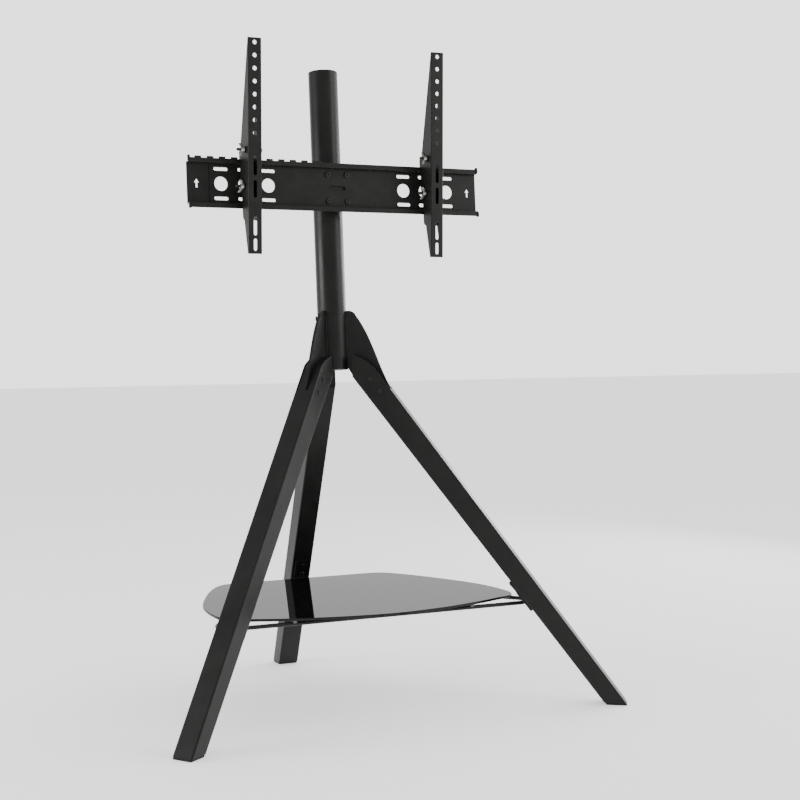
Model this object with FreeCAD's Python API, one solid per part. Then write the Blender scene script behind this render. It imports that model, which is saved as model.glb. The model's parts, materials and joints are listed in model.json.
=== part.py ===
import FreeCAD, Part
import math
import os

from FreeCAD import Vector

os.makedirs("parts", exist_ok=True)

# Screen stand on three legs: a round pole that leans back, a hooked rail that
# slides up and down it, and two screen arms that hang on the rail and tilt.
# Millimetres. X to the right, Y to the back, Z up, origin on the floor at the
# middle of the base.

# --- driving dimensions -------------------------------------------------------
LEAN = 5.0                 # the pole leans back by this many degrees
AXIS_Y = 0.98              # where the pole's axis meets the floor

TUBE_R = 30.0              # outside of the hub tube and of the pole
HUB_WALL = 3.0
POLE_WALL = 2.0
HUB_BOTTOM = 663.0         # heights along the pole's axis
HUB_TOP = 775.0
POLE_TOP = 1273.0
CAP_THICK = 3.0
SPIGOT_HALF = 85.0         # the inner joint tube reaches this far each way

LEG_WIDE = 44.0            # across the leg's own upright plane
LEG_OUT = 23.1             # outer face from the centre line, at the apex of the legs
LEG_OUT_TAPER = 0.0068     # and how much nearer it comes for each millimetre down
LEG_IN = 26.0
LEG_IN_TAPER = 0.0087
LEG_WALL = 2.0
LEG_EDGE_R = 3.2
LEG_END_R = 42.0           # the leg's top stops this far from the pole's axis
FRONT_LEG = {"angle": 35.3, "apex": 746.8}
BACK_LEG = {"angle": 23.2, "apex": 787.5}
LEG_AZIMUTH = {"left": 215.25, "right": -35.25, "back": 90.0}
ROUND_RUN = 68.0           # length of the rounded top edge of a leg's side wall
MOUTH_RUN = 101.0          # the outer wall starts this far down from the leg's end
LEG_BOLT_RUNS = (61.0, 92.0)
LEG_BOLT_PERP = 3.0        # the bolts sit this far above the leg's centre line
SPACER_INSET = 2.0         # the moulded blocks sit this far inside the leg's mouth
FIN_RUN = 118.0
FIN_THICK = 6.0
FIN_TOP = 781.0
FOOT_PLUG = 4.0

SHELF_TOP = 202.5
GLASS = 5.0
PAD = 2.5
ROD_R = 4.0
BRACKET_THICK = 5.0
BRACKET_LONG = 72.0
BRACKET_WIDE = 34.0
BRACKET_MID_Z = 209.0
BRACKET_SCREW_ZS = (214.0, 232.0)

RAIL_HALF = 320.0
RAIL_MID = 1028.0          # height of the rail's centre line along the pole
WEB_HALF = 39.0
SHEET = 2.0
WEB_FRONT = -52.1          # front face of the rail's web, measured from the pole's axis
LIP_FRONT = -63.0
LIP_TOP = 1076.0
TOOTH_TOP = 1079.6
LIP_BOTTOM = 978.5
TOOTH_PITCH = 25.0
TOOTH_WIDE = 13.4
JOIN_X = -35.0             # the toothed lip ends and the plain lip begins
PLAIN_LEFT = -274.0        # left end of the plain plate's web
HOLE_XS = (150.0, 200.0, 250.0)
RAIL_HOLE_R = 14.2
RAIL_SLOT = (30.0, 7.0)
RAIL_SLOT_RISE = 29.0
SCREW_X = 21.0
SCREW_RISE = 27.0
ARROW_X = 300.0

ARM_X = 200.0              # half the distance between the two arms
ARM_WIDE = 28.0
ARM_TOP_HOLE_Z = 1299.2
ARM_FRONT_Y = -17.7        # front face of the arm plate from the axis' floor point
VESA_PITCH = 25.0
VESA_HOLES = 8
VESA_R = 4.3
ARM_SLOT_WIDE = 7.0
ARM_SLOTS = ((219.0, 257.0), (266.0, 300.0), (335.0, 373.0), (379.0, 403.0))
# Each arm bolt: back from the arm's front face, and down from its top hole.
BOLTS = {"pivot": (18.0, 206.0), "lock": (22.0, 277.0)}
BOLT_R = 4.0               # clamp and rail screws
ARM_BOLT_R = 3.0
TILT_BACK = 5.0
TILT_FORWARD = 2.0
BRACKET_HALF = 11.6        # half the width of the hook bracket inside the arm

FIT = 0.05                 # radial clearance of a shaft in its hole
GAP = 0.3                  # room between parts that move past each other

X_AXIS = Vector(1, 0, 0)
Y_AXIS = Vector(0, 1, 0)
Z_AXIS = Vector(0, 0, 1)


# --- helpers --------------------------------------------------------------------
def export(shape, name):
    """Write one sub-part as parts/NAME.step."""
    shape.exportStep(os.path.join("parts", name + ".step"))


def lean(shape):
    """Move a shape from the pole's own frame, where the pole is upright, into place."""
    placed = shape.copy()
    placed.rotate(Vector(0, 0, 0), X_AXIS, -LEAN)
    placed.translate(Vector(0, AXIS_Y, 0))
    return placed


def box(x0, x1, y0, y1, z0, z1):
    """A box between two corners."""
    return Part.makeBox(x1 - x0, y1 - y0, z1 - z0, Vector(x0, y0, z0))


def rod(radius, start, end):
    """A round bar between two points."""
    run = end.sub(start)
    return Part.makeCylinder(radius, run.Length, start, run)


def tube(outer, inner, start, end):
    """A round tube between two points."""
    return rod(outer, start, end).cut(rod(inner, start, end))


def prism(edges_or_points, half, centre=0.0):
    """Extrude an outline drawn in the XZ plane to both sides along Y."""
    if isinstance(edges_or_points[0], Vector):
        wire = Part.makePolygon(edges_or_points + [edges_or_points[0]])
    else:
        wire = Part.Wire(edges_or_points)
    face = Part.Face(wire)
    face.translate(Vector(0, centre - half, 0))
    return face.extrude(Vector(0, 2 * half, 0))


def side_plate(points, x0, x1):
    """Extrude an outline of (y, z) points between two X positions."""
    corners = [Vector(x0, y, z) for y, z in points]
    face = Part.Face(Part.makePolygon(corners + [corners[0]]))
    return face.extrude(Vector(x1 - x0, 0, 0))


def slot_x(x, z, length, width, y0, y1):
    """A round-ended cutter through a wall, running along X."""
    half = (length - width) / 2
    r = width / 2
    body = box(x - half, x + half, y0, y1, z - r, z + r)
    for end in (x - half, x + half):
        body = body.fuse(rod(r, Vector(end, y0, z), Vector(end, y1, z)))
    return body


def slot_z(x, z_low, z_high, width, y0, y1):
    """A round-ended cutter through a wall, running along Z."""
    r = width / 2
    body = box(x - r, x + r, y0, y1, z_low + r, z_high - r)
    for end in (z_low + r, z_high - r):
        body = body.fuse(rod(r, Vector(x, y0, end), Vector(x, y1, end)))
    return body


def hexagon(across, start, end):
    """A hexagonal bar between two points."""
    run = end.sub(start)
    r = across / math.sqrt(3)
    angles = [math.radians(60 * i) for i in range(7)]
    ring = [Vector(r * math.cos(a), r * math.sin(a), 0) for a in angles]
    bar = Part.Face(Part.makePolygon(ring)).extrude(Vector(0, 0, run.Length))
    bar.Placement = FreeCAD.Placement(start, FreeCAD.Rotation(Z_AXIS, run))
    return bar


def socket_screw(start, end, shank_r, head_r, head_long, key):
    """A round-headed socket screw; the head's underside is at start."""
    along = end.sub(start).normalize()
    outer = start.sub(along * head_long)
    head = rod(head_r, outer, start)
    rim = [e for e in head.Edges if e.Vertexes[0].Point.sub(outer).Length < head_r + 0.01]
    rim = [e for e in rim if isinstance(e.Curve, Part.Circle) and e.Curve.Center.sub(outer).Length < 0.01]
    head = head.makeFillet(head_long * 0.45, rim)
    head = head.cut(hexagon(key, outer.sub(along), outer + along * (head_long * 0.6)))
    return head.fuse(rod(shank_r, start, end)).removeSplitter()


# --- legs ------------------------------------------------------------------------
def leg_point(leg, run, perp):
    """A point in the leg's plane: run down from the apex, perp out from its centre line."""
    a = math.radians(leg["angle"])
    r = run * math.sin(a) + perp * math.cos(a)
    s = leg["apex"] - run * math.cos(a) + perp * math.sin(a)
    return Vector(r, 0, s)


def leg_start(leg):
    """Run at which the leg's centre line is LEG_END_R from the pole's axis."""
    return LEG_END_R / math.sin(math.radians(leg["angle"]))


def out_perp(run, inset=0.0):
    """Where the leg's outer face is at a run, or a skin below it."""
    return LEG_OUT - LEG_OUT_TAPER * run - inset


def in_perp(run, inset=0.0):
    """Where the leg's inner face is at a run, or a skin above it."""
    return LEG_IN_TAPER * run - LEG_IN + inset


def inner_point(leg, radius, inset=0.0):
    """The point of the inner face, or of a skin above it, at a radius from the pole's axis."""
    a = math.radians(leg["angle"])
    run = (radius + (LEG_IN - inset) * math.cos(a)) / (math.sin(a) + LEG_IN_TAPER * math.cos(a))
    return leg_point(leg, run, in_perp(run, inset))


def leg_outline(leg):
    """Side outline of a leg, with a square end by the pole and a rounded upper edge."""
    start = leg_start(leg)
    far = 1000.0
    mid_run = start + ROUND_RUN * 0.36
    low = inner_point(leg, LEG_END_R)
    top = leg_point(leg, start, 1.0)
    mid = leg_point(leg, mid_run, out_perp(mid_run) * 0.73)
    shoulder = leg_point(leg, start + ROUND_RUN, out_perp(start + ROUND_RUN))
    out_far = leg_point(leg, far, out_perp(far))
    in_far = leg_point(leg, far, in_perp(far))
    return [
        Part.LineSegment(low, top).toShape(),
        Part.Arc(top, mid, shoulder).toShape(),
        Part.LineSegment(shoulder, out_far).toShape(),
        Part.LineSegment(out_far, in_far).toShape(),
        Part.LineSegment(in_far, low).toShape(),
    ]


def place_leg(shape, side):
    """Turn a shape drawn in the leg's plane to its side of the stand."""
    placed = shape.copy()
    placed.rotate(Vector(0, 0, 0), Z_AXIS, LEG_AZIMUTH[side])
    return lean(placed)


def leg_of(side):
    return BACK_LEG if side == "back" else FRONT_LEG


def strip(leg, run0, run1, inset, half):
    """A tapering block along the leg, a skin inside its inner and outer faces."""
    corners = [leg_point(leg, run0, in_perp(run0, inset)), leg_point(leg, run1, in_perp(run1, inset)),
               leg_point(leg, run1, out_perp(run1, inset)), leg_point(leg, run0, out_perp(run0, inset))]
    return prism(corners, half)


def mouth_cutter(leg, half):
    """Takes the outer wall off the leg's top."""
    end = leg_start(leg) + MOUTH_RUN
    skin = LEG_WALL + 1
    corners = [leg_point(leg, 0, out_perp(0, skin)), leg_point(leg, end, out_perp(end, skin)),
               leg_point(leg, end, 60.0), leg_point(leg, 0, 60.0)]
    return prism(corners, half)


def bolt_holes(leg, radius, half):
    """Cutters for the two cross bolts of a leg."""
    holes = []
    for run in LEG_BOLT_RUNS:
        p = leg_point(leg, leg_start(leg) + run, LEG_BOLT_PERP)
        holes.append(rod(radius, p - Y_AXIS * half, p + Y_AXIS * half))
    return holes


def make_leg(side):
    """Square tube, open at the top for the hub's fin, cut level just above the floor."""
    leg = leg_of(side)
    inner_half = LEG_WIDE / 2 - LEG_WALL
    stock = strip(leg, 0, 1100, 0, LEG_WIDE / 2)
    stock = stock.makeFillet(LEG_EDGE_R, [e for e in stock.Edges if e.Length > 1000])
    outer = stock.common(prism(leg_outline(leg), LEG_WIDE))
    bore = strip(leg, 0, 1100, LEG_WALL, inner_half)
    bore = bore.makeFillet(LEG_EDGE_R - LEG_WALL, [e for e in bore.Edges if e.Length > 1000])
    body = outer.cut(bore).cut(mouth_cutter(leg, inner_half))
    for hole in bolt_holes(leg, 3.2, LEG_WIDE):
        body = body.cut(hole)
    body = place_leg(body, side)
    for hole in shelf_screw_rods(side, 2.7, -1, LEG_WALL + 1):
        body = body.cut(hole)
    return body.common(box(-900, 900, -900, 900, FOOT_PLUG, 1500))


def make_foot_plug(side):
    """Moulded plug: a level sole with a shank inside the tube."""
    leg = leg_of(side)
    sole = strip(leg, 500, 1100, 1, LEG_WIDE / 2 - 1)
    sole = sole.makeFillet(2.5, [e for e in sole.Edges if e.Length > 500])
    sole = place_leg(sole, side).common(box(-900, 900, -900, 900, 0, FOOT_PLUG - 0.2))
    shank = strip(leg, 500, 1100, LEG_WALL + FIT, LEG_WIDE / 2 - LEG_WALL - FIT)
    shank = shank.makeFillet(LEG_EDGE_R - LEG_WALL, [e for e in shank.Edges if e.Length > 500])
    shank = place_leg(shank, side).common(box(-900, 900, -900, 900, FOOT_PLUG / 2, FOOT_PLUG + 20))
    return sole.fuse(shank).removeSplitter()


def make_fin(side):
    """Flat plate from the hub tube into the top of a leg."""
    leg = leg_of(side)
    start = leg_start(leg)
    skin = LEG_WALL + FIT
    mouth = start + MOUTH_RUN - 0.5
    tail = start + FIN_RUN
    inner_r = TUBE_R - HUB_WALL * 0.4
    top_in = Vector(inner_r, 0, FIN_TOP)
    top_mid = Vector(38.0, 0, FIN_TOP)
    round_mid = Vector(45.2, 0, FIN_TOP - 3.4)
    round_end = Vector(50.0, 0, FIN_TOP - 10.0)
    leave = leg_point(leg, mouth, out_perp(mouth, skin - 2.0))
    chord = leave.sub(round_end)
    bulge = ((0.36, 4.2), (0.65, 1.0))
    through = [round_end] + [round_end + chord * t + Vector(b, 0, 0) for t, b in bulge] + [leave]
    curve = Part.BSplineCurve()
    curve.interpolate(through)
    inside = leg_point(leg, mouth, out_perp(mouth, skin))
    tail_out = leg_point(leg, tail, out_perp(tail, skin))
    tail_in = leg_point(leg, tail, in_perp(tail, skin))
    step_low = inner_point(leg, LEG_END_R - GAP)
    step_high = inner_point(leg, LEG_END_R - GAP, skin)
    low_in = Vector(inner_r, 0, HUB_BOTTOM + 3.0)
    edges = [
        Part.LineSegment(top_in, top_mid).toShape(),
        Part.Arc(top_mid, round_mid, round_end).toShape(),
        curve.toShape(),
        Part.LineSegment(leave, inside).toShape(),
        Part.LineSegment(inside, tail_out).toShape(),
        Part.LineSegment(tail_out, tail_in).toShape(),
        Part.LineSegment(tail_in, step_high).toShape(),
        Part.LineSegment(step_high, step_low).toShape(),
        Part.LineSegment(step_low, low_in).toShape(),
        Part.LineSegment(low_in, top_in).toShape(),
    ]
    fin = prism(edges, FIN_THICK / 2)
    fin = fin.cut(rod(TUBE_R, Vector(0, 0, 600), Vector(0, 0, 900)))
    for hole in bolt_holes(leg, 3.2, LEG_WIDE):
        fin = fin.cut(hole)
    return place_leg(fin, side)


def make_leg_bolts(side):
    """Two socket screws across the leg, with their nuts."""
    leg = leg_of(side)
    half = LEG_WIDE / 2
    near = 1 if side == "left" else -1
    pieces = []
    for run in LEG_BOLT_RUNS:
        p = leg_point(leg, leg_start(leg) + run, LEG_BOLT_PERP)
        head = p + Y_AXIS * (near * (half + FIT))
        tail = p - Y_AXIS * (near * (half + 6.5))
        pieces.append(socket_screw(head, tail, 3.0, 4.8, 1.6, 4.0))
        nut_start = p - Y_AXIS * (near * (half + FIT))
        nut = hexagon(10.0, nut_start, nut_start - Y_AXIS * (near * 5.0))
        pieces.append(nut.cut(rod(3.05, nut_start + Y_AXIS * near, nut_start - Y_AXIS * (near * 9))))
    return place_leg(Part.makeCompound(pieces), side)


def make_leg_spacers(side):
    """Two moulded blocks that fill the leg's mouth on both sides of the fin."""
    leg = leg_of(side)
    start = leg_start(leg)
    inner = LEG_WIDE / 2 - LEG_WALL - FIT
    run = start + MOUTH_RUN - 1
    block = strip(leg, 0, run, LEG_WALL + FIT, inner)
    block = block.makeFillet(LEG_EDGE_R - LEG_WALL, [e for e in block.Edges if e.Length > run - 1])
    profile = prism(leg_outline(leg), LEG_WIDE)
    profile.translate(leg_point(leg, SPACER_INSET, -SPACER_INSET / 2).sub(leg_point(leg, 0, 0)))
    block = block.common(profile)
    half_slot = FIN_THICK / 2 + FIT
    block = block.cut(box(-200, 400, -half_slot, half_slot, 300, 900))
    for hole in bolt_holes(leg, 3.2, LEG_WIDE):
        block = block.cut(hole)
    return place_leg(Part.makeCompound(block.Solids), side)


# --- hub and pole ------------------------------------------------------------------
FIX_SCREW_AZIMUTHS = (27.5, 152.5)
FIX_SCREW_Z = 768.0


def fix_screw_ends(azimuth, start_r, end_r):
    """Two points on a radial line at the height of the pole's fixing screws."""
    a = math.radians(azimuth)
    out = Vector(math.cos(a), math.sin(a), 0)
    return out * start_r + Z_AXIS * FIX_SCREW_Z, out * end_r + Z_AXIS * FIX_SCREW_Z


def make_hub_tube():
    """Short tube that carries the three fins."""
    body = tube(TUBE_R, TUBE_R - HUB_WALL, Vector(0, 0, HUB_BOTTOM), Vector(0, 0, HUB_TOP))
    for azimuth in FIX_SCREW_AZIMUTHS:
        inner, outer = fix_screw_ends(azimuth, 15, 45)
        body = body.cut(rod(3.2, inner, outer))
    return lean(body)


def make_hub_plug():
    """Moulded plug in the bottom of the hub tube."""
    inner = TUBE_R - HUB_WALL - FIT
    flange = rod(TUBE_R - 0.5, Vector(0, 0, HUB_BOTTOM - 2.0), Vector(0, 0, HUB_BOTTOM - 0.05))
    shank = tube(inner, inner - 3.0, Vector(0, 0, HUB_BOTTOM - 1.0), Vector(0, 0, HUB_BOTTOM + 18))
    return lean(flange.fuse(shank).removeSplitter())


def make_spigot():
    """Inner tube that joins the pole to the hub."""
    outer = TUBE_R - HUB_WALL - FIT
    low = Vector(0, 0, HUB_TOP - SPIGOT_HALF + 5)
    high = Vector(0, 0, HUB_TOP + SPIGOT_HALF)
    body = tube(outer, outer - 2.5, low, high)
    for azimuth in FIX_SCREW_AZIMUTHS:
        inner, end = fix_screw_ends(azimuth, 15, 45)
        body = body.cut(rod(3.02, inner, end))
    return lean(body)


def make_pole():
    """Upper pole, thickened inside where it sits on the joint tube."""
    low = Vector(0, 0, HUB_TOP + 0.3)
    high = Vector(0, 0, POLE_TOP)
    body = tube(TUBE_R, TUBE_R - POLE_WALL, low, high)
    liner_top = Vector(0, 0, HUB_TOP + SPIGOT_HALF + 10)
    liner = tube(TUBE_R - POLE_WALL / 2, TUBE_R - HUB_WALL, low, liner_top)
    return lean(body.fuse(liner).removeSplitter())


def make_pole_cap():
    """Low moulded cap on top of the pole."""
    inner = TUBE_R - POLE_WALL - FIT
    disc = rod(TUBE_R, Vector(0, 0, POLE_TOP + 0.05), Vector(0, 0, POLE_TOP + CAP_THICK))
    circles = [e for e in disc.Edges if isinstance(e.Curve, Part.Circle)]
    top_edge = [e for e in circles if e.Curve.Center.z > POLE_TOP + 1]
    disc = disc.makeFillet(1.8, top_edge)
    shank = tube(inner, inner - 2.5, Vector(0, 0, POLE_TOP - 16), Vector(0, 0, POLE_TOP + 1))
    return lean(disc.fuse(shank).removeSplitter())


def make_pole_screws():
    """The two screws that hold the pole's joint tube in the hub."""
    screws = []
    for azimuth in FIX_SCREW_AZIMUTHS:
        inner, outer = fix_screw_ends(azimuth, 22.0, TUBE_R + 0.6)
        screws.append(socket_screw(outer, inner, 3.0, 4.8, 3.4, 4.0))
    return lean(Part.makeCompound(screws))


# --- shelf ---------------------------------------------------------------------------
def leg_frame(side):
    """Foot direction of a leg in the stand's frame: a point on its axis, along, outward, across."""
    leg = leg_of(side)
    turn = FreeCAD.Rotation(X_AXIS, -LEAN).multiply(FreeCAD.Rotation(Z_AXIS, LEG_AZIMUTH[side]))
    shift = Vector(0, AXIS_Y, 0)
    apex = turn.multVec(leg_point(leg, 0, 0)) + shift
    low = turn.multVec(leg_point(leg, 100, 0)) + shift
    out = turn.multVec(leg_point(leg, 0, 1)) + shift
    return apex, low.sub(apex).normalize(), out.sub(apex).normalize(), turn.multVec(Y_AXIS)


def inner_face_frame(side, z):
    """A point at height z on the middle of the leg's inner face, with its axes."""
    apex, down, out, across = leg_frame(side)
    base = apex - out * LEG_IN
    along = (down + out * LEG_IN_TAPER).normalize()
    outward = (out - down * LEG_IN_TAPER).normalize()
    point = base + along * ((z - base.z) / along.z)
    return point, along, outward, across


def shelf_screw_rods(side, radius, start, end):
    """Round bars through a leg's inner wall, one above the shelf and one below."""
    bars = []
    for z in BRACKET_SCREW_ZS:
        p, down, out, across = inner_face_frame(side, z)
        bars.append(rod(radius, p + out * start, p + out * end))
    return bars


def rod_ring_corners():
    """Corners of the rod ring's centre line, and the radius that rounds them."""
    front = -183.1
    return [Vector(-366.3, front, 0), Vector(366.3, front, 0), Vector(0, 249.9, 0)], 30.0


def rounded_loop(corners, radius, z):
    """Closed wire of straight runs and tangent arcs through rounded corners."""
    count = len(corners)
    starts = []
    ends = []
    mids = []
    for i in range(count):
        c = corners[i]
        to_prev = corners[i - 1].sub(c).normalize()
        to_next = corners[(i + 1) % count].sub(c).normalize()
        half_angle = to_prev.getAngle(to_next) / 2
        tangent = radius / math.tan(half_angle)
        bisector = (to_prev + to_next).normalize()
        centre = c + bisector * (radius / math.sin(half_angle))
        starts.append(c + to_prev * tangent)
        ends.append(c + to_next * tangent)
        mids.append(centre - bisector * radius)
    edges = []
    for i in range(count):
        edges.append(Part.Arc(starts[i], mids[i], ends[i]).toShape())
        edges.append(Part.LineSegment(ends[i], starts[(i + 1) % count]).toShape())
    wire = Part.Wire(edges)
    wire.translate(Vector(0, 0, z))
    return wire


ROD_Z = SHELF_TOP - GLASS - PAD - ROD_R


def make_shelf_ring():
    """Round bar bent into a closed triangle with rounded corners, under the glass."""
    corners, radius = rod_ring_corners()
    path = rounded_loop(corners, radius, ROD_Z)
    straight = path.Edges[1]
    start = straight.Vertexes[0].Point
    direction = straight.Vertexes[1].Point.sub(start).normalize()
    section = Part.Wire(Part.makeCircle(ROD_R, start, direction))
    pipe = path.makePipeShell([section], True, True)
    return pipe


def shelf_outline():
    """Rounded-triangle outline of the glass: a straight back edge and one long curve."""
    half = [(158, 230), (188, 221), (212, 196), (243, 146), (279, 72), (307, -2), (317, -62),
            (318.5, -95), (316, -122), (305, -144), (288, -156), (264, -165), (232, -178),
            (190, -192), (142, -206), (75, -219)]
    points = half + [(0, -226)] + [(-x, y) for x, y in reversed(half)]
    curve = Part.BSplineCurve()
    curve.interpolate([Vector(x, y, SHELF_TOP - GLASS) for x, y in points])
    front = curve.toShape()
    back = Part.LineSegment(front.Vertexes[1].Point, front.Vertexes[0].Point).toShape()
    return Part.Wire([front, back])


def make_shelf_glass():
    """Toughened glass shelf."""
    return Part.Face(shelf_outline()).extrude(Vector(0, 0, GLASS))


def make_shelf_pads():
    """Soft pads between the ring and the glass."""
    corners, radius = rod_ring_corners()
    pads = []
    for i in range(3):
        a = corners[i]
        b = corners[(i + 1) % 3]
        for t in (0.24, 0.5, 0.76):
            p = a + b.sub(a) * t
            foot = Vector(p.x, p.y, ROD_Z + 1.5)
            top = Vector(p.x, p.y, SHELF_TOP - GLASS - 0.02)
            pads.append(rod(5.0, foot, top).cut(rod_section(a, b)))
    return Part.makeCompound(pads)


def rod_section(a, b):
    """The straight bar between two ring corners, slightly oversize, as a cutter."""
    low = Vector(a.x, a.y, ROD_Z)
    high = Vector(b.x, b.y, ROD_Z)
    return rod(ROD_R + 0.02, low, high)


def make_shelf_bracket(side):
    """Plate on the leg's inner face, which the ring is welded to."""
    p, down, out, across = inner_face_frame(side, BRACKET_MID_Z)
    plate = Part.makeBox(BRACKET_THICK, BRACKET_WIDE, BRACKET_LONG)
    plate.translate(Vector(FIT, -BRACKET_WIDE / 2, -BRACKET_LONG / 2))
    inward = out * -1
    frame = FreeCAD.Rotation(inward, across, down * -1, "XZY")
    plate.Placement = FreeCAD.Placement(p, frame).multiply(plate.Placement)
    for bar in shelf_screw_rods(side, 2.7, -10, 10):
        plate = plate.cut(bar)
    return plate


def make_shelf_screws():
    """Two button-head screws through each shelf bracket into the leg."""
    screws = []
    for side in LEG_AZIMUTH:
        for z in BRACKET_SCREW_ZS:
            p, down, out, across = inner_face_frame(side, z)
            head = p - out * (BRACKET_THICK + 2 * FIT)
            screws.append(socket_screw(head, p + out * 9, 2.5, 4.6, 2.6, 3.0))
    return Part.makeCompound(screws)


# --- rail and clamp ---------------------------------------------------------------------
def web_cutters(xs, y0, y1):
    """Round holes and slots of the rail's web at the given X positions."""
    cutters = []
    for x in xs:
        cutters.append(rod(RAIL_HOLE_R, Vector(x, y0, RAIL_MID), Vector(x, y1, RAIL_MID)))
        for sign in (-1, 1):
            cutters.append(slot_x(x, RAIL_MID + sign * RAIL_SLOT_RISE, RAIL_SLOT[0], RAIL_SLOT[1], y0, y1))
    for x in (-SCREW_X, SCREW_X):
        for sign in (-1, 1):
            z = RAIL_MID + sign * SCREW_RISE
            cutters.append(rod(4.2, Vector(x, y0, z), Vector(x, y1, z)))
    cutters.append(slot_x(0, RAIL_MID, 36, 9, y0, y1))
    return cutters


def arrow_cutter(x, y0, y1):
    """An upward arrow through the web."""
    tip = RAIL_MID + 9
    neck = RAIL_MID + 1
    low = RAIL_MID - 9
    outline = [(0, tip), (5, neck), (2, neck), (2, low), (-2, low), (-2, neck), (-5, neck)]
    points = [Vector(x + dx, 0, z) for dx, z in outline]
    return prism(points, (y1 - y0) / 2, (y0 + y1) / 2)


def lips(x0, x1, web_back, top):
    """The two forward lips of a rail plate, each a shelf with an upright edge."""
    upper = box(x0, x1, LIP_FRONT, web_back, RAIL_MID + WEB_HALF, RAIL_MID + WEB_HALF + SHEET)
    upper = upper.fuse(box(x0, x1, LIP_FRONT, LIP_FRONT + SHEET, RAIL_MID + WEB_HALF, top))
    lower = box(x0, x1, LIP_FRONT, web_back, RAIL_MID - WEB_HALF - SHEET, RAIL_MID - WEB_HALF)
    lower = lower.fuse(box(x0, x1, LIP_FRONT, LIP_FRONT + SHEET, LIP_BOTTOM, RAIL_MID - WEB_HALF))
    return upper.fuse(lower)


def bend_edges(body):
    """Long outer edges of the lips, which the press rounds off."""
    found = []
    for e in body.Edges:
        long_x = e.BoundBox.XLength > 100 and e.BoundBox.YLength < 0.01 and e.BoundBox.ZLength < 0.01
        at_front = abs(e.BoundBox.YMin - LIP_FRONT) < 0.01
        z = e.BoundBox.ZMin
        at_bend = abs(z - (RAIL_MID + WEB_HALF)) < 0.01 or abs(z - (RAIL_MID - WEB_HALF)) < 0.01
        if long_x and at_front and at_bend:
            found.append(e)
    return found


def make_rail_left():
    """Toothed plate: the rear web, with notched lips on the left."""
    front = WEB_FRONT + SHEET + FIT
    back = front + SHEET
    web = box(-RAIL_HALF, 45, front, back, RAIL_MID - WEB_HALF, RAIL_MID + WEB_HALF)
    body = web.fuse(lips(-RAIL_HALF, JOIN_X, back, TOOTH_TOP)).removeSplitter()
    edges = bend_edges(body)
    body = body.makeFillet(1.8, edges)
    notch_z = LIP_TOP
    first = -300.0 + TOOTH_WIDE / 2
    gap = TOOTH_PITCH - TOOTH_WIDE
    for i in range(10):
        x = first + i * TOOTH_PITCH
        body = body.cut(box(x, x + gap, LIP_FRONT - 1, LIP_FRONT + SHEET + 1, notch_z, TOOTH_TOP + 1))
    end = -300.0 - TOOTH_WIDE / 2
    body = body.cut(box(-RAIL_HALF - 1, end, LIP_FRONT - 1, LIP_FRONT + SHEET + 1, notch_z, TOOTH_TOP + 1))
    for cutter in web_cutters([-x for x in HOLE_XS], front - 1, back + 1):
        body = body.cut(cutter)
    return lean(body.cut(arrow_cutter(-ARROW_X, front - 1, back + 1)))


def make_rail_right():
    """Plain plate: the front web, with smooth lips on the right."""
    back = WEB_FRONT + SHEET
    web = box(PLAIN_LEFT, RAIL_HALF, WEB_FRONT, back, RAIL_MID - WEB_HALF + FIT, RAIL_MID + WEB_HALF - FIT)
    root = box(JOIN_X + FIT, RAIL_HALF, WEB_FRONT, back, RAIL_MID - WEB_HALF, RAIL_MID + WEB_HALF)
    body = web.fuse(root).fuse(lips(JOIN_X + FIT, RAIL_HALF, back, LIP_TOP + 0.8)).removeSplitter()
    edges = bend_edges(body)
    body = body.makeFillet(1.8, edges)
    xs = [-x for x in HOLE_XS] + list(HOLE_XS)
    for cutter in web_cutters(xs, WEB_FRONT - 1, back + 1):
        body = body.cut(cutter)
    return lean(body.cut(arrow_cutter(ARROW_X, WEB_FRONT - 1, back + 1)))


def make_end_stops():
    """Moulded stops pushed over the four ends of the lips."""
    stops = []
    for sign in (-1, 1):
        x0, x1 = sorted((sign * (RAIL_HALF - 3.5), sign * (RAIL_HALF + 1.2)))
        wall_x = sorted((sign * (RAIL_HALF + 0.05), sign * (RAIL_HALF - 8.0)))
        for z0, z1, lip0, lip1 in ((RAIL_MID + WEB_HALF + SHEET + 0.1, TOOTH_TOP + 1.0, 0, LIP_TOP + 0.8),
                                   (LIP_BOTTOM - 1.6, RAIL_MID - WEB_HALF - SHEET - 0.1, LIP_BOTTOM, 2000)):
            cap = box(x0, x1, LIP_FRONT - 1.5, LIP_FRONT + SHEET + 1.5, z0, z1)
            cap = cap.makeFillet(0.9, cap.Edges)
            low = max(lip0 - 0.05, z0 - 5) if lip0 else z0 - 5
            high = min(lip1 + 0.05, z1 + 5) if lip1 < 1500 else z1 + 5
            slot = box(wall_x[0], wall_x[1], LIP_FRONT - 0.05, LIP_FRONT + SHEET + 0.05, low, high)
            stops.append(cap.cut(slot))
    return lean(Part.makeCompound(stops))


PLATE_FRONT = WEB_FRONT + 2 * SHEET + 2 * FIT
PLATE_BACK = PLATE_FRONT + 3.0
CLAMP_LOW = RAIL_MID - 32.0
CLAMP_HIGH = RAIL_MID + 32.0
CLAMP_BOLT_X = 46.0
CLAMP_BOLT_RISE = 18.0
CLAMP_SPLIT = 2.0
EAR_THICK = 9.0


def rail_screw_points():
    return [(sx * SCREW_X, RAIL_MID + sz * SCREW_RISE) for sx in (-1, 1) for sz in (-1, 1)]


def clamp_bolt_points():
    return [(sx * CLAMP_BOLT_X, RAIL_MID + sz * CLAMP_BOLT_RISE) for sx in (-1, 1) for sz in (-1, 1)]


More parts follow.
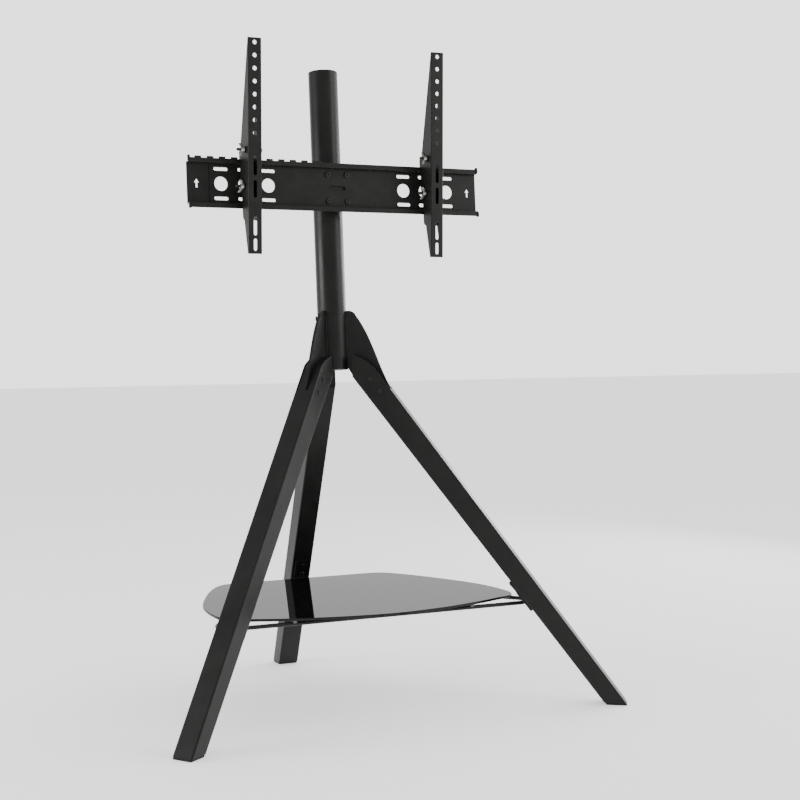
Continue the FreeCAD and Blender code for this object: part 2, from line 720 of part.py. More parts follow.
def make_mount_plate():
    """Flat plate between the rail and the pole clamp."""
    body = box(-58, 58, PLATE_FRONT, PLATE_BACK, RAIL_MID - 35, RAIL_MID + 35)
    corners = [e for e in body.Edges if e.BoundBox.YLength > 2]
    body = body.makeFillet(6.0, corners)
    for x, z in rail_screw_points():
        body = body.cut(rod(4.2, Vector(x, PLATE_FRONT - 1, z), Vector(x, PLATE_BACK + 1, z)))
    return lean(body)


def make_clamp_front():
    """Front half of the pole clamp: a saddle with two ears and nut pockets for the rail."""
    saddle = box(-30, 30, PLATE_BACK + FIT, -CLAMP_SPLIT, CLAMP_LOW, CLAMP_HIGH)
    ears = box(-56, 56, -CLAMP_SPLIT - EAR_THICK, -CLAMP_SPLIT, CLAMP_LOW, CLAMP_HIGH)
    body = saddle.fuse(ears).fuse(rod(37.0, Vector(0, 0, CLAMP_LOW), Vector(0, 0, CLAMP_HIGH)))
    body = body.cut(box(-60, 60, -CLAMP_SPLIT, 60, CLAMP_LOW - 1, CLAMP_HIGH + 1))
    body = body.cut(box(-60, 60, -80, PLATE_BACK + FIT, CLAMP_LOW - 1, CLAMP_HIGH + 1))
    body = body.cut(rod(TUBE_R + FIT, Vector(0, 0, CLAMP_LOW - 1), Vector(0, 0, CLAMP_HIGH + 1)))
    for x, z in rail_screw_points():
        body = body.cut(rod(8.2, Vector(x, PLATE_BACK - 1, z), Vector(x, PLATE_BACK + 11, z)))
    for x, z in clamp_bolt_points():
        body = body.cut(rod(4.2, Vector(x, -40, z), Vector(x, 0, z)))
    return lean(body.removeSplitter())


def make_clamp_rear():
    """Rear half of the pole clamp: a half shell with two ears."""
    ears = box(-56, 56, CLAMP_SPLIT, CLAMP_SPLIT + EAR_THICK, CLAMP_LOW, CLAMP_HIGH)
    body = ears.fuse(rod(37.0, Vector(0, 0, CLAMP_LOW), Vector(0, 0, CLAMP_HIGH)))
    body = body.cut(box(-60, 60, -60, CLAMP_SPLIT, CLAMP_LOW - 1, CLAMP_HIGH + 1))
    body = body.cut(rod(TUBE_R + FIT, Vector(0, 0, CLAMP_LOW - 1), Vector(0, 0, CLAMP_HIGH + 1)))
    for x, z in clamp_bolt_points():
        body = body.cut(rod(4.2, Vector(x, 0, z), Vector(x, 40, z)))
    return lean(body.removeSplitter())


def nut(across, hole_r, start, end):
    """A plain hexagon nut."""
    along = end.sub(start).normalize()
    return hexagon(across, start, end).cut(rod(hole_r, start - along, end + along))


def make_clamp_bolts():
    """Four socket screws that draw the clamp halves together."""
    screws = []
    for x, z in clamp_bolt_points():
        head = Vector(x, CLAMP_SPLIT + EAR_THICK + FIT, z)
        tail = Vector(x, -CLAMP_SPLIT - EAR_THICK - 9, z)
        screws.append(socket_screw(head, tail, BOLT_R, 6.5, 5.0, 5.0))
    return lean(Part.makeCompound(screws))


def make_clamp_nuts():
    """Nuts of the clamp's screws."""
    y = -CLAMP_SPLIT - EAR_THICK - FIT
    pieces = []
    for x, z in clamp_bolt_points():
        pieces.append(nut(13.0, BOLT_R + FIT, Vector(x, y, z), Vector(x, y - 6.5, z)))
    return lean(Part.makeCompound(pieces))


def make_rail_screws():
    """Four button-head screws through both rail plates and the mount plate."""
    screws = []
    for x, z in rail_screw_points():
        head = Vector(x, WEB_FRONT - FIT, z)
        screws.append(socket_screw(head, Vector(x, PLATE_BACK + 8.5, z), BOLT_R, 5.6, 3.2, 4.0))
    return lean(Part.makeCompound(screws))


def make_rail_nuts():
    """Nuts of the rail's screws, in the clamp's pockets."""
    y = PLATE_BACK + FIT
    pieces = []
    for x, z in rail_screw_points():
        pieces.append(nut(13.0, BOLT_R + FIT, Vector(x, y, z), Vector(x, y + 6.5, z)))
    return lean(Part.makeCompound(pieces))


# --- screen arms --------------------------------------------------------------------------
def arm_point(x, depth, drop):
    """A point on an arm: depth back from its front face, drop down from the top hole."""
    return Vector(x, AXIS_Y + ARM_FRONT_Y + depth, ARM_TOP_HOLE_Z - drop)


def bolt_centres(x):
    """Pivot and lock bolt centres of the arm at X."""
    return {name: arm_point(x, depth, drop) for name, (depth, drop) in BOLTS.items()}


def tilt_slot(x, radius):
    """Arc slot round the pivot for the lock bolt, cut through both flanges."""
    pivot, lock = bolt_centres(x).values()
    cutter = rod(radius, lock - X_AXIS * 20, lock + X_AXIS * 20)
    steps = 12
    body = None
    for i in range(steps + 1):
        turned = cutter.copy()
        turned.rotate(pivot, X_AXIS, -TILT_FORWARD + (TILT_BACK + TILT_FORWARD) * i / steps)
        body = turned if body is None else body.fuse(turned)
    return body.removeSplitter()


def make_arm(x):
    """Screen arm: a channel with a drilled front plate and two tapering flanges."""
    outline = [(0, -9), (3, -9), (44, 198), (47, 222), (47, 262), (5, 409), (0, 409)]
    points = [(arm_point(0, d, h).y, arm_point(0, d, h).z) for d, h in outline]
    half = ARM_WIDE / 2
    body = side_plate(points, x - half, x + half)
    cavity = [(SHEET, -20), (60, -20), (60, 420), (SHEET, 420)]
    hollow = [(arm_point(0, d, h).y, arm_point(0, d, h).z) for d, h in cavity]
    front = [e for e in body.Edges if e.BoundBox.ZLength > 300 and e.BoundBox.YLength < 0.01]
    body = body.makeFillet(1.8, front)
    body = body.cut(side_plate(hollow, x - half + SHEET, x + half - SHEET))
    y0 = arm_point(0, -1, 0).y
    y1 = arm_point(0, SHEET + 1, 0).y
    for i in range(VESA_HOLES):
        z = ARM_TOP_HOLE_Z - i * VESA_PITCH
        body = body.cut(rod(VESA_R, Vector(x, y0, z), Vector(x, y1, z)))
    for high, low in ARM_SLOTS:
        body = body.cut(slot_z(x, ARM_TOP_HOLE_Z - low, ARM_TOP_HOLE_Z - high, ARM_SLOT_WIDE, y0, y1))
    pivot = bolt_centres(x)["pivot"]
    body = body.cut(rod(ARM_BOLT_R + FIT, pivot - X_AXIS * 20, pivot + X_AXIS * 20))
    return body.cut(tilt_slot(x, ARM_BOLT_R + GAP)).removeSplitter()


def make_hook_bracket(x):
    """Bracket that hangs on the rail: two side plates with hooks and a front web."""
    lip_back = LIP_FRONT + SHEET
    over = TOOTH_TOP + 0.5
    hook_low = RAIL_MID + WEB_HALF + SHEET + 1.5
    clear = LIP_FRONT - 0.5
    outline = [(-105, 1086), (-101, 1098), (-92, 1103), (-70, 1101), (-54.5, 1092), (-54.5, hook_low),
               (lip_back + 0.5, hook_low), (lip_back + 0.5, over), (clear, over), (clear, 985),
               (-63.5, 962), (-67, 956), (-76, 953), (-84, 957), (-93, 985), (-99, 1045)]
    web = box(x - BRACKET_HALF, x + BRACKET_HALF, -74.0, -72.0, 962, 1060)
    body = web
    for sign in (-1, 1):
        x0, x1 = sorted((x + sign * BRACKET_HALF, x + sign * (BRACKET_HALF - SHEET)))
        body = body.fuse(side_plate(outline, x0, x1))
    body = lean(body.removeSplitter())
    for centre in bolt_centres(x).values():
        body = body.cut(rod(ARM_BOLT_R + FIT, centre - X_AXIS * 20, centre + X_AXIS * 20))
    return body


def make_arm_bolt(x, name):
    """Hexagon bolt across the arm; its threaded end points left."""
    c = bolt_centres(x)[name]
    half = ARM_WIDE / 2
    shank = rod(ARM_BOLT_R, c + X_AXIS * (half + 1.9), c - X_AXIS * 31.5)
    tip = [e for e in shank.Edges if isinstance(e.Curve, Part.Circle) and e.Curve.Center.x < c.x - 20]
    shank = shank.makeChamfer(0.8, tip)
    head = hexagon(10.0, c + X_AXIS * (half + 1.9), c + X_AXIS * (half + 6.0))
    return shank.fuse(head).removeSplitter()


def make_washers(x):
    """Washers under the bolt heads and wing nuts, and spacers between the bracket's plates."""
    pieces = []
    half = ARM_WIDE / 2
    for c in bolt_centres(x).values():
        pieces.append(tube(7.0, ARM_BOLT_R + 0.1, c + X_AXIS * (half + GAP), c + X_AXIS * (half + 1.85)))
        pieces.append(tube(7.0, ARM_BOLT_R + 0.1, c - X_AXIS * (half + 1.85), c - X_AXIS * (half + GAP)))
        inner = BRACKET_HALF - SHEET - FIT
        pieces.append(tube(5.5, ARM_BOLT_R + 0.1, c - X_AXIS * inner, c + X_AXIS * inner))
    return Part.makeCompound(pieces)


def make_wing_nut(x, name, turn):
    """Wing nut on the left end of an arm bolt."""
    c = bolt_centres(x)[name]
    inner = c - X_AXIS * (ARM_WIDE / 2 + 2.2)
    hub = Part.makeCone(5.8, 4.8, 7.0, inner, X_AXIS * -1)
    profile = [(0, 2.5), (-1.3, 8.6), (-5.2, 12.8), (-9.8, 13.0),
               (-11.0, 9.9), (-8.9, 6.6), (-7.0, 4.0), (-7.0, 2.5)]
    wing_points = [Vector(x_run, 0, reach) for x_run, reach in profile]
    wings = []
    for sign in (1, -1):
        points = [Vector(p.x, 0, p.z * sign) for p in wing_points]
        blade = prism(points, 1.1)
        blade = blade.makeFillet(0.7, [e for e in blade.Edges if e.BoundBox.YLength < 0.01 and e.Length > 4])
        blade.translate(inner)
        wings.append(blade)
    body = hub.fuse(wings[0]).fuse(wings[1])
    body.rotate(c, X_AXIS, turn)
    return body.cut(rod(ARM_BOLT_R + FIT, c, c - X_AXIS * 40)).removeSplitter()


# --- build ----------------------------------------------------------------------------------
for side in LEG_AZIMUTH:
    export(make_leg(side), "leg_" + side)
    export(make_foot_plug(side), "foot_plug_" + side)
    export(make_fin(side), "hub_fin_" + side)
    export(make_leg_bolts(side), "leg_bolts_" + side)
    export(make_leg_spacers(side), "leg_spacers_" + side)
    export(make_shelf_bracket(side), "shelf_bracket_" + side)

export(make_hub_tube(), "hub_tube")
export(make_hub_plug(), "hub_bottom_plug")
export(make_spigot(), "pole_joint_tube")
export(make_pole(), "pole")
export(make_pole_cap(), "pole_cap")
export(make_pole_screws(), "pole_screws")

export(make_shelf_ring(), "shelf_rod_ring")
export(make_shelf_glass(), "shelf_glass")
export(make_shelf_pads(), "shelf_pads")
export(make_shelf_screws(), "shelf_screws")

export(make_rail_left(), "rail_toothed_plate")
export(make_rail_right(), "rail_plain_plate")
export(make_end_stops(), "rail_end_stops")
export(make_rail_screws(), "rail_screws")
export(make_rail_nuts(), "rail_nuts")
export(make_mount_plate(), "mount_plate")
export(make_clamp_front(), "clamp_front")
export(make_clamp_rear(), "clamp_rear")
export(make_clamp_bolts(), "clamp_bolts")
export(make_clamp_nuts(), "clamp_nuts")

WING_TURNS = {"pivot": -12.0, "lock": 18.0}
for label, x in (("left", -ARM_X), ("right", ARM_X)):
    export(make_arm(x), "arm_" + label)
    export(make_hook_bracket(x), "hook_bracket_" + label)
    export(make_washers(x), "arm_washers_" + label)
    for bolt, turn in WING_TURNS.items():
        export(make_arm_bolt(x, bolt), bolt + "_bolt_" + label)
        export(make_wing_nut(x, bolt, turn), bolt + "_wing_nut_" + label)
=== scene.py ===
"""Looks for a screen stand on three legs: leaning pole, hooked rail, two tilting arms and a glass shelf.

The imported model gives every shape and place. This script dresses each of its nodes in the finish of
the real material, and adds the pieces that need a mesh of their own: the polished glass shelf, the
wing nuts, the threaded arm bolts and the weld beads of the hub.
"""

import json
import logging
import math
from collections.abc import Callable
from dataclasses import dataclass
from enum import Enum

import bmesh
import bpy
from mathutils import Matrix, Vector


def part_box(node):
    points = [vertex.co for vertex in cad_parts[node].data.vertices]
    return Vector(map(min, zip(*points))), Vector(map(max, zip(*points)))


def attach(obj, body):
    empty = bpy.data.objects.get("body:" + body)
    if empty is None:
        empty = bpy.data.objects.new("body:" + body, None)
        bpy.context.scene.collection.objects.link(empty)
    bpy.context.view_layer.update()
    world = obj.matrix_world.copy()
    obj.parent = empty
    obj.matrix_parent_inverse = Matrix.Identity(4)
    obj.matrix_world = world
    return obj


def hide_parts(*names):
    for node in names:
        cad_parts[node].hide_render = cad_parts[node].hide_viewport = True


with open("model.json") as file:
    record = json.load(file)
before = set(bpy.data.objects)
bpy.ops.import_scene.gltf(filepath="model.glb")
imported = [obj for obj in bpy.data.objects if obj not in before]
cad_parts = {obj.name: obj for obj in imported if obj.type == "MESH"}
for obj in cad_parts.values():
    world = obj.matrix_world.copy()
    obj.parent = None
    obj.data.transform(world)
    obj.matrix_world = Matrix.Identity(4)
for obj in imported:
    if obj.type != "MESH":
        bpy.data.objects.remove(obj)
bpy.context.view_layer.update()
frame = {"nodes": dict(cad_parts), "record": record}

log = logging.getLogger("screen_stand")

MM = 0.001


class Side(Enum):
    """The two screen arms, by the side that they hang on."""

    LEFT = "left"
    RIGHT = "right"


class ArmBolt(Enum):
    """The two bolts that cross each screen arm."""

    PIVOT = "pivot"
    LOCK = "lock"


class Leg(Enum):
    """The three legs, with the compass angle of each one's plane in degrees from +X."""

    LEFT = 215.25
    RIGHT = -35.25
    BACK = 90.0


# --- node and colour helpers --------------------------------------------------------------------


def linear(hex_colour: str) -> tuple[float, float, float, float]:
    """Turn an sRGB hex colour into the linear colour that a shader takes.

    Args:
        hex_colour: colour such as "#1c1c1b".

    Returns:
        Linear red, green, blue and an alpha of one.
    """
    values = [int(hex_colour[i : i + 2], 16) / 255 for i in (1, 3, 5)]
    flat = [v / 12.92 if v <= 0.04045 else ((v + 0.055) / 1.055) ** 2.4 for v in values]
    return flat[0], flat[1], flat[2], 1.0


def per_metre(size_mm: float) -> float:
    """Texture scale that repeats once in this many millimetres."""
    return 1.0 / (size_mm * MM)


def add_node(tree: bpy.types.NodeTree, kind: str, settings: dict | None = None, links: dict | None = None):
    """Add one node with its settings and its incoming links.

    Args:
        tree: node tree that takes the node.
        kind: Blender's name of the node type.
        settings: attribute names or input names with their values.
        links: input names with the output sockets that feed them.

    Returns:
        The new node.
    """
    node = tree.nodes.new(kind)
    for name, value in (settings or {}).items():
        if name in node.inputs:
            node.inputs[name].default_value = value
        else:
            setattr(node, name, value)
    for name, source in (links or {}).items():
        tree.links.new(source, node.inputs[name])
    return node


def ramp(tree: bpy.types.NodeTree, source, stops: list[tuple[float, tuple]]):
    """Map a grey value through colour stops.

    Args:
        tree: node tree that takes the node.
        source: socket with the value.
        stops: position and colour of each stop, at least two.

    Returns:
        The ramp's colour socket.
    """
    node = add_node(tree, "ShaderNodeValToRGB", links={"Fac": source})
    elements = node.color_ramp.elements
    for element, (position, colour) in zip(elements, (stops[0], stops[-1])):
        element.position = position
        element.color = colour
    for position, colour in stops[1:-1]:
        elements.new(position).color = colour
    return node.outputs["Color"]


def grey(value: float) -> tuple[float, float, float, float]:
    """A grey as a linear colour."""
    return value, value, value, 1.0


# --- finishes -------------------------------------------------------------------------------------


@dataclass(frozen=True)
class Coating:
    """A coloured surface with a fine texture, cloudy colour and uneven gloss.

    Powder coat, oxide, moulded plastic and rubber all build on it: they differ in colour, gloss and
    the size and depth of the texture that their process leaves.
    """

    name: str
    dark: str
    light: str
    rough: tuple[float, float]
    specular: float
    grain_mm: float
    grain_depth_mm: float
    cloud_mm: float = 60.0
    metallic: float = 0.0
    coat: float = 0.0

    def material(self) -> bpy.types.Material:
        """Build the material.

        Returns:
            A node material with colour, roughness and bump that vary over the surface.
        """
        made = bpy.data.materials.new(self.name)
        made.use_nodes = True
        tree = made.node_tree
        shader = tree.nodes["Principled BSDF"]
        place = add_node(tree, "ShaderNodeTexCoord").outputs["Object"]
        cloud = add_node(tree, "ShaderNodeTexNoise", {"Scale": per_metre(self.cloud_mm), "Detail": 4.0,
                                                       "Roughness": 0.6}, {"Vector": place})
        speck = add_node(tree, "ShaderNodeTexNoise", {"Scale": per_metre(self.grain_mm * 3), "Detail": 2.0},
                         {"Vector": place})
        tone = add_node(tree, "ShaderNodeMath", {"operation": "MULTIPLY_ADD"},
                        {0: speck.outputs["Fac"], 2: cloud.outputs["Fac"]})
        tone.inputs[1].default_value = 0.35
        colour = ramp(tree, tone.outputs[0], [(0.45, linear(self.dark)), (0.85, linear(self.light))])
        gloss = ramp(tree, cloud.outputs["Fac"], [(0.3, grey(self.rough[0])), (0.7, grey(self.rough[1]))])
        grain = self.grain(tree, place)
        bump = add_node(tree, "ShaderNodeBump", {"Strength": 0.6, "Distance": self.grain_depth_mm * MM},
                        {"Height": grain})
        shader.inputs["Metallic"].default_value = self.metallic
        shader.inputs["Specular IOR Level"].default_value = self.specular
        shader.inputs["Coat Weight"].default_value = self.coat
        tree.links.new(colour, shader.inputs["Base Color"])
        tree.links.new(gloss, shader.inputs["Roughness"])
        tree.links.new(bump.outputs["Normal"], shader.inputs["Normal"])
        return made

    def grain(self, tree: bpy.types.NodeTree, place) -> bpy.types.NodeSocket:
        """Height of the surface texture: soft noise, as a sprayed or moulded skin has."""
        noise = add_node(tree, "ShaderNodeTexNoise", {"Scale": per_metre(self.grain_mm), "Detail": 2.0,
                                                      "Roughness": 0.5}, {"Vector": place})
        return noise.outputs["Fac"]


@dataclass(frozen=True)
class PebbledCoating(Coating):
    """A coating whose texture is rounded pebbles, as textured powder and etched moulds leave."""

    def grain(self, tree: bpy.types.NodeTree, place) -> bpy.types.NodeSocket:
        """Height of the pebbles, from the distance to the nearest cell centre."""
        cells = add_node(tree, "ShaderNodeTexVoronoi", {"feature": "SMOOTH_F1",
                                                        "Scale": per_metre(self.grain_mm)}, {"Vector": place})
        return cells.outputs["Distance"]


@dataclass(frozen=True)
class BrightZinc(Coating):
    """Cast steel with a bright zinc plate: light grey metal with soft cast ripples."""

    def grain(self, tree: bpy.types.NodeTree, place) -> bpy.types.NodeSocket:
        """Height of the cast skin: wide ripples with fine pitting."""
        wide = add_node(tree, "ShaderNodeTexNoise", {"Scale": per_metre(self.grain_mm * 4), "Detail": 1.0},
                        {"Vector": place})
        fine = add_node(tree, "ShaderNodeTexNoise", {"Scale": per_metre(self.grain_mm), "Detail": 3.0},
                        {"Vector": place})
        both = add_node(tree, "ShaderNodeMath", {"operation": "MULTIPLY_ADD"},
                        {0: fine.outputs["Fac"], 2: wide.outputs["Fac"]})
        both.inputs[1].default_value = 0.3
        return both.outputs[0]


@dataclass(frozen=True)
class BlackBackedGlass:
    """Toughened float glass with black enamel fired on its underside.

    The eye gets a deep black that mirrors the room at low angles, with faint dust and hand smears.
    The film is the share of the surface that dust makes dull, so that it mirrors less.
    """

    name: str = "glass_float_black_enamel_back"
    body: str = "#060607"
    dusty: str = "#0c0c0c"
    rough: tuple[float, float] = (0.015, 0.05)
    ior: float = 1.52
    film: float = 0.58
    smear_mm: float = 90.0
    dust_mm: float = 1.6

    def material(self) -> bpy.types.Material:
        """Build the glass.

        Returns:
            A node material that is near mirror smooth, duller where it is smeared.
        """
        made = bpy.data.materials.new(self.name)
        made.use_nodes = True
        tree = made.node_tree
        shader = tree.nodes["Principled BSDF"]
        place = add_node(tree, "ShaderNodeTexCoord").outputs["Object"]
        smear = add_node(tree, "ShaderNodeTexNoise", {"Scale": per_metre(self.smear_mm), "Detail": 5.0,
                                                      "Distortion": 1.2}, {"Vector": place})
        dust = add_node(tree, "ShaderNodeTexNoise", {"Scale": per_metre(self.dust_mm), "Detail": 1.0},
                        {"Vector": place})
        colour = ramp(tree, dust.outputs["Fac"], [(0.62, linear(self.body)), (0.78, linear(self.dusty))])
        gloss = ramp(tree, smear.outputs["Fac"], [(0.35, grey(self.rough[0])), (0.75, grey(self.rough[1]))])
        shader.inputs["IOR"].default_value = self.ior
        tree.links.new(colour, shader.inputs["Base Color"])
        tree.links.new(gloss, shader.inputs["Roughness"])
        film = add_node(tree, "ShaderNodeBsdfDiffuse", {"Color": linear(self.dusty)})
        both = add_node(tree, "ShaderNodeMixShader", {}, {1: shader.outputs[0], 2: film.outputs[0]})
        both.inputs[0].default_value = self.film
        tree.links.new(both.outputs[0], tree.nodes["Material Output"].inputs["Surface"])
        return made


# Polyester powder baked on welded tube: satin black, with the soft ripple that powder flows into.
# The ripple is drawn at 1.2 mm, somewhat coarser than the real skin, so that it shows.
POWDER_COAT = Coating("steel_tube_satin_black_powder", "#131312", "#1b1b1a", (0.33, 0.42), 0.22, 1.2, 0.03)

# The same powder on pressed sheet, a little thicker and pebbled, so that it scatters more light.
PRESSED_COAT = PebbledCoating("steel_sheet_satin_black_powder", "#151514", "#1f1f1d", (0.38, 0.48), 0.2, 0.9, 0.04,
                              cloud_mm=35.0)

# Socket screws with a hot black oxide: thin and oily, so darker and glossier than paint.
BLACK_OXIDE = Coating("steel_black_oxide", "#0c0c0c", "#171615", (0.28, 0.4), 0.4, 0.5, 0.01, cloud_mm=8.0)

# Bolts, nuts and washers in black zinc: a dark metal with a slight sheen.
BLACK_ZINC = Coating("steel_black_zinc", "#262625", "#3c3b39", (0.3, 0.42), 0.5, 0.6, 0.015, cloud_mm=10.0,
                     metallic=0.85)

# Wing nuts, cast and then zinc plated: a plain grey metal, with a softly rippled skin.
ZINC = BrightZinc("steel_cast_bright_zinc", "#858682", "#a9aaa5", (0.26, 0.4), 0.5, 0.7, 0.05, cloud_mm=6.0,
                  metallic=1.0)

# Injection-moulded polyamide: matte, with the fine etched grain of its mould.
MOULDED_NYLON = PebbledCoating("nylon_moulded_black", "#0f0f0f", "#161616", (0.5, 0.62), 0.25, 0.45, 0.03,
                               cloud_mm=25.0)

# Soft clear-grey bumper pads that the glass sits on.
BUMPER = Coating("polyurethane_bumper_grey", "#4a4a47", "#62625e", (0.35, 0.5), 0.5, 0.8, 0.01, cloud_mm=5.0)

FINISHES: dict[str, Coating | BlackBackedGlass] = {
    "black_powder_coat": POWDER_COAT,
    "black_pressed_steel": PRESSED_COAT,
    "black_screws": BLACK_OXIDE,
    "black_bolts": BLACK_ZINC,
    "zinc_wing_nuts": ZINC,
    "black_plastic": MOULDED_NYLON,
    "black_glass": BlackBackedGlass(),
    "clear_rubber": BUMPER,
}


class Wardrobe:
    """Keeps one material per finish and puts it on CAD nodes and new pieces."""

    def __init__(self) -> None:
        """Build every finish once."""
        self.made = {slot: finish.material() for slot, finish in FINISHES.items()}

    def dress_nodes(self) -> int:
        """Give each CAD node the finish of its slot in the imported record.

        Returns:
            How many nodes were dressed.
        """
        wanted = {part["node"]: part["material_slot"] for part in frame["record"]["subparts"]}
        for node, piece in frame["nodes"].items():
            self.put_on(piece, wanted[node])
        return len(wanted)

    def put_on(self, piece: bpy.types.Object, slot: str) -> None:
        """Fill every material slot of a piece with one finish."""
        if not piece.material_slots:
            piece.data.materials.append(self.made[slot])
        for holder in piece.material_slots:
            holder.material = self.made[slot]


# --- mesh helpers -----------------------------------------------------------------------------------


def skin(rings: list[list[Vector]], closed: bool = False) -> bmesh.types.BMesh:
    """Join rings of points into one skin.

    Args:
        rings: rings with the same number of points each, in order.
        closed: join the last ring to the first instead of capping both ends.

    Returns:
        A bmesh with outward normals.
    """
    mesh = bmesh.new()
    rows = [[mesh.verts.new(point) for point in ring] for ring in rings]
    pairs = list(zip(rows, rows[1:]))
    if closed:
        pairs.append((rows[-1], rows[0]))
    else:
        mesh.faces.new(list(reversed(rows[0])))
        mesh.faces.new(rows[-1])
    for low, high in pairs:
        for i in range(len(low)):
            j = (i + 1) % len(low)
            mesh.faces.new((low[i], low[j], high[j], high[i]))
    bmesh.ops.recalc_face_normals(mesh, faces=mesh.faces)
    return mesh


def as_object(mesh: bmesh.types.BMesh, name: str, smooth: bool = True) -> bpy.types.Object:
    """Turn a bmesh into an object of the scene.

    Args:
        mesh: finished bmesh, freed here.
        name: name of the piece.
        smooth: shade its faces smooth.

    Returns:
        The new object.
    """
    data = bpy.data.meshes.new(name)
    mesh.to_mesh(data)
    mesh.free()
    for face in data.polygons:
        face.use_smooth = smooth
    made = bpy.data.objects.new(name, data)
    bpy.context.scene.collection.objects.link(made)
    return made


def join(pieces: list[bmesh.types.BMesh]) -> bmesh.types.BMesh:
    """Put several bmeshes into the first one and return it."""
    first = pieces[0]
    for other in pieces[1:]:
        carrier = bpy.data.meshes.new("carrier")
        other.to_mesh(carrier)
        other.free()
        first.from_mesh(carrier)
        bpy.data.meshes.remove(carrier)
    return first


@dataclass(frozen=True)
class CrossAxis:
    """A bolt's own axis: outward is -X, with angles counted about it from straight up."""

    centre: Vector

    def at(self, out_mm: float, radius_mm: float, angle: float) -> Vector:
        """Point at a distance outward, a radius and an angle in radians."""
        reach = radius_mm * MM
        offset = Vector((-out_mm * MM, -reach * math.sin(angle), reach * math.cos(angle)))
        return self.centre + offset

    def ring(self, out_mm: float, radius: Callable[[float], float] | float, count: int) -> list[Vector]:
        """Ring of points round the axis, with a constant radius or one that depends on the angle."""
        turns = [2 * math.pi * i / count for i in range(count)]
        return [self.at(out_mm, radius(t) if callable(radius) else radius, t) for t in turns]


# --- sub-assemblies -----------------------------------------------------------------------------------


@dataclass
class GlassShelf:
    """The shelf pane, with its rim ground round and polished."""

    node: str = "shelf_glass"
    rim_mm: float = 0.8
    rim_steps: int = 4
    corner_deg: float = 60.0
    level_within_mm: float = 0.1

    def build(self, wardrobe: Wardrobe) -> list[bpy.types.Object]:
        """Build the pane from the outline of its CAD node.

        Args:
            wardrobe: finishes to dress it in.

        Returns:
            The pane.
        """
        mesh = bmesh.new()
        mesh.from_mesh(frame["nodes"][self.node].data)
        bmesh.ops.remove_doubles(mesh, verts=mesh.verts, dist=0.01 * MM)
        bmesh.ops.dissolve_limit(mesh, angle_limit=math.radians(1), verts=mesh.verts, edges=mesh.edges)
        rim = [edge for edge in mesh.edges if edge.calc_face_angle(0.0) > math.radians(self.corner_deg)]
        level = [e for e in rim if abs(e.verts[0].co.z - e.verts[1].co.z) < self.level_within_mm * MM]
        bmesh.ops.bevel(mesh, geom=level, offset=self.rim_mm * MM, segments=self.rim_steps, profile=0.5,
                        affect="EDGES")
        pane = as_object(mesh, "shelf_glass_polished")
        for face in pane.data.polygons:
            face.use_smooth = abs(face.normal.z) < 0.999
        wardrobe.put_on(pane, "black_glass")
        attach(pane, "stand")
        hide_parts(self.node)
        return [pane]


@dataclass
class WingNutSet:
    """One wing nut: a turned hub with two cast wings, on the threaded end of an arm bolt."""

    side: Side
    bolt: ArmBolt
    turn_deg: float
    start_mm: float = 16.2
    arm_x_m: float = 0.2
    bore_mm: float = 3.05
    # distance outward and outer radius along the hub, base first
    hub_profile: tuple = ((0.0, 5.3), (0.35, 5.8), (1.4, 5.75), (4.4, 5.25), (6.4, 4.85), (7.0, 4.4))
    # radius, inner and outer limit along the axis, and thickness of a wing, root first
    wing_profile: tuple = ((3.4, 0.8, 6.4, 2.8), (5.0, 0.8, 6.8, 2.7), (7.5, 1.3, 8.4, 2.4), (10.0, 2.9, 10.4, 2.2),
                           (12.0, 4.6, 10.9, 2.1), (12.9, 6.2, 10.2, 1.8))

    @property
    def node(self) -> str:
        """Name of the CAD node that this piece stands for."""
        return f"{self.bolt.value}_wing_nut_{self.side.value}"

    def axis(self) -> CrossAxis:
        """The nut's axis, from its joint, with outward counted from the arm's middle."""
        name = f"{self.bolt.value}_nut_turn_{self.side.value}"
        joint = next(j for j in frame["record"]["behaviour"]["joints"] if j["name"] == name)
        x = -self.arm_x_m if self.side is Side.LEFT else self.arm_x_m
        return CrossAxis(Vector((x, joint["pos_m"][1], joint["pos_m"][2])))

    def wing(self, axis: CrossAxis, angle: float) -> bmesh.types.BMesh:
        """One wing as a loft of rounded boxes, reaching out at the given angle."""
        rings = []
        for radius, low, high, thick in self.wing_profile:
            half = thick / 2
            corners = ((low, -half), (low + 1.2, -half), (high - 1.2, -half), (high, -half),
                       (high, half), (high - 1.2, half), (low + 1.2, half), (low, half))
            ring = []
            for out, aside in corners:
                lean_angle = angle + math.atan2(aside, radius)
                ring.append(axis.at(self.start_mm + out, math.hypot(radius, aside), lean_angle))
            rings.append(ring)
        return skin(rings)

    def build(self, wardrobe: Wardrobe) -> list[bpy.types.Object]:
        """Build the nut.

        Args:
            wardrobe: finishes to dress it in.

        Returns:
            The nut.
        """
        axis = self.axis()
        count = 40
        outer = [axis.ring(self.start_mm + out, radius, count) for out, radius in self.hub_profile]
        ends = (self.hub_profile[-1][0], self.hub_profile[0][0])
        inner = [axis.ring(self.start_mm + out, self.bore_mm, count) for out in ends]
        hub = skin(outer + inner, closed=True)
        angle = math.radians(self.turn_deg)
        parts = [hub, self.wing(axis, angle), self.wing(axis, angle + math.pi)]
        nut = as_object(join(parts), f"{self.node}_cast")
        smooth = nut.modifiers.new("cast_roundness", "SUBSURF")
        smooth.levels = 2
        smooth.render_levels = 2
        wardrobe.put_on(nut, "zinc_wing_nuts")
        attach(nut, f"{self.bolt.value}_nut_{self.side.value}")
        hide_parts(self.node)
        return [nut]


